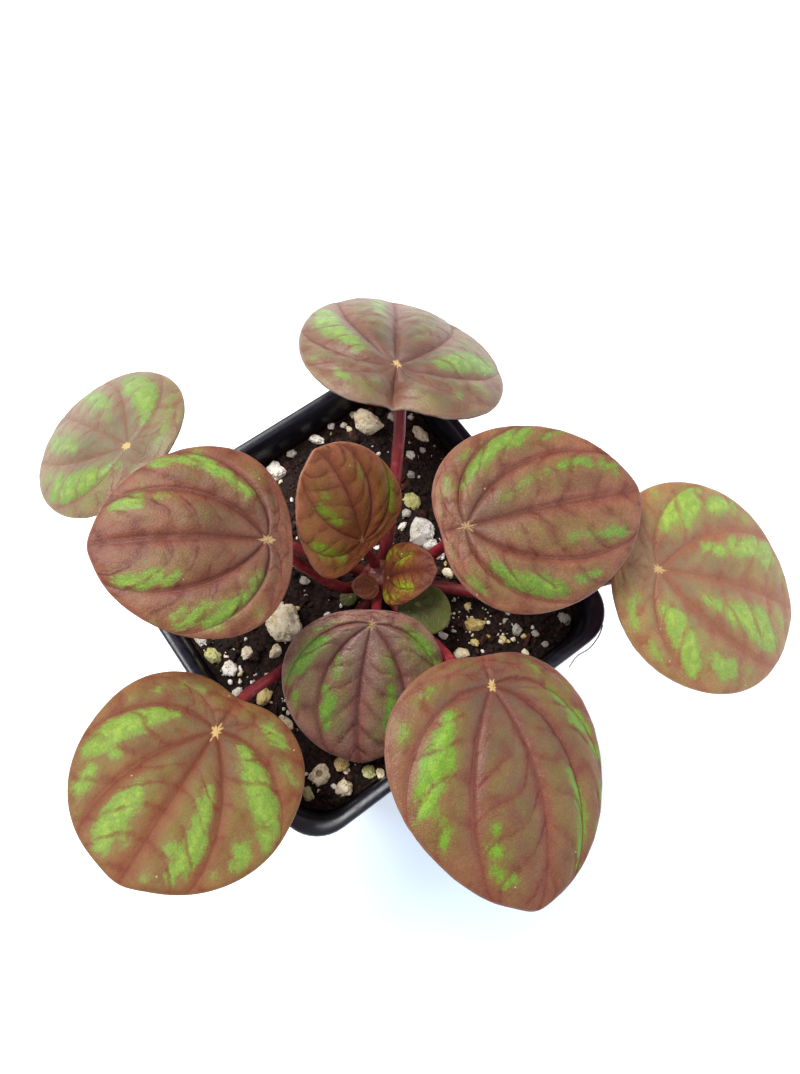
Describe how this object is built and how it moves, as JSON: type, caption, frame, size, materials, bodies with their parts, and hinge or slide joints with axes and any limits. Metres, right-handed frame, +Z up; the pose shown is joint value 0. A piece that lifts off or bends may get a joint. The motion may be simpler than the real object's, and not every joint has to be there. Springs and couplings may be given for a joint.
{
  "type": "potted peperomia",
  "caption": "Peperomia with quilted bronze and green leaves on red petioles, growing in a square black nursery pot of gritty soil.",
  "frame": {"origin": "middle of the pot's flat underside", "axes": "+Z up out of the pot, X and Y along the pot's sides"},
  "size_m": [0.1638, 0.1631, 0.1228],
  "materials": {
    "pot": "satin",
    "soil": "matte",
    "crown": "satin",
    "petiole": "satin",
    "sprout_stalk": "satin",
    "blade": "satin",
    "young_blade": "satin",
    "sprout_blade": "satin",
    "stone_cream": "matte",
    "stone_white": "matte",
    "stone_grey": "matte",
    "stone_moss": "matte",
    "stone_tan": "matte"
  },
  "bodies": {
    "root": {"crown": "crown", "leaf_10_blade": "young_blade", "leaf_10_petiole": "petiole", "leaf_11_blade": "young_blade", "leaf_11_petiole": "petiole", "leaf_1_blade": "blade", "leaf_1_petiole": "petiole", "leaf_2_blade": "blade", "leaf_2_petiole": "petiole", "leaf_3_blade": "blade", "leaf_3_petiole": "petiole", "leaf_4_blade": "blade", "leaf_4_petiole": "petiole", "leaf_5_blade": "blade", "leaf_5_petiole": "petiole", "leaf_6_blade": "blade", "leaf_6_petiole": "petiole", "leaf_7_blade": "blade", "leaf_7_petiole": "petiole", "leaf_8_blade": "blade", "leaf_8_petiole": "petiole", "leaf_9_blade": "young_blade", "leaf_9_petiole": "petiole", "pot": "pot", "soil": "soil", "sprout_1_blade": "sprout_blade", "sprout_1_stalk": "sprout_stalk", "sprout_2_blade": "sprout_blade", "sprout_2_stalk": "sprout_stalk", "stone_1": "stone_cream", "stone_10": "stone_cream", "stone_11": "stone_cream", "stone_12": "stone_white", "stone_13": "stone_moss", "stone_14": "stone_white", "stone_15": "stone_cream", "stone_16": "stone_tan", "stone_17": "stone_white", "stone_18": "stone_cream", "stone_19": "stone_cream", "stone_2": "stone_white", "stone_20": "stone_tan", "stone_21": "stone_cream", "stone_22": "stone_moss", "stone_23": "stone_tan", "stone_24": "stone_cream", "stone_25": "stone_grey", "stone_26": "stone_grey", "stone_3": "stone_white", "stone_4": "stone_cream", "stone_5": "stone_white", "stone_6": "stone_moss", "stone_7": "stone_white", "stone_8": "stone_white", "stone_9": "stone_cream"}
  },
  "joints": []
}
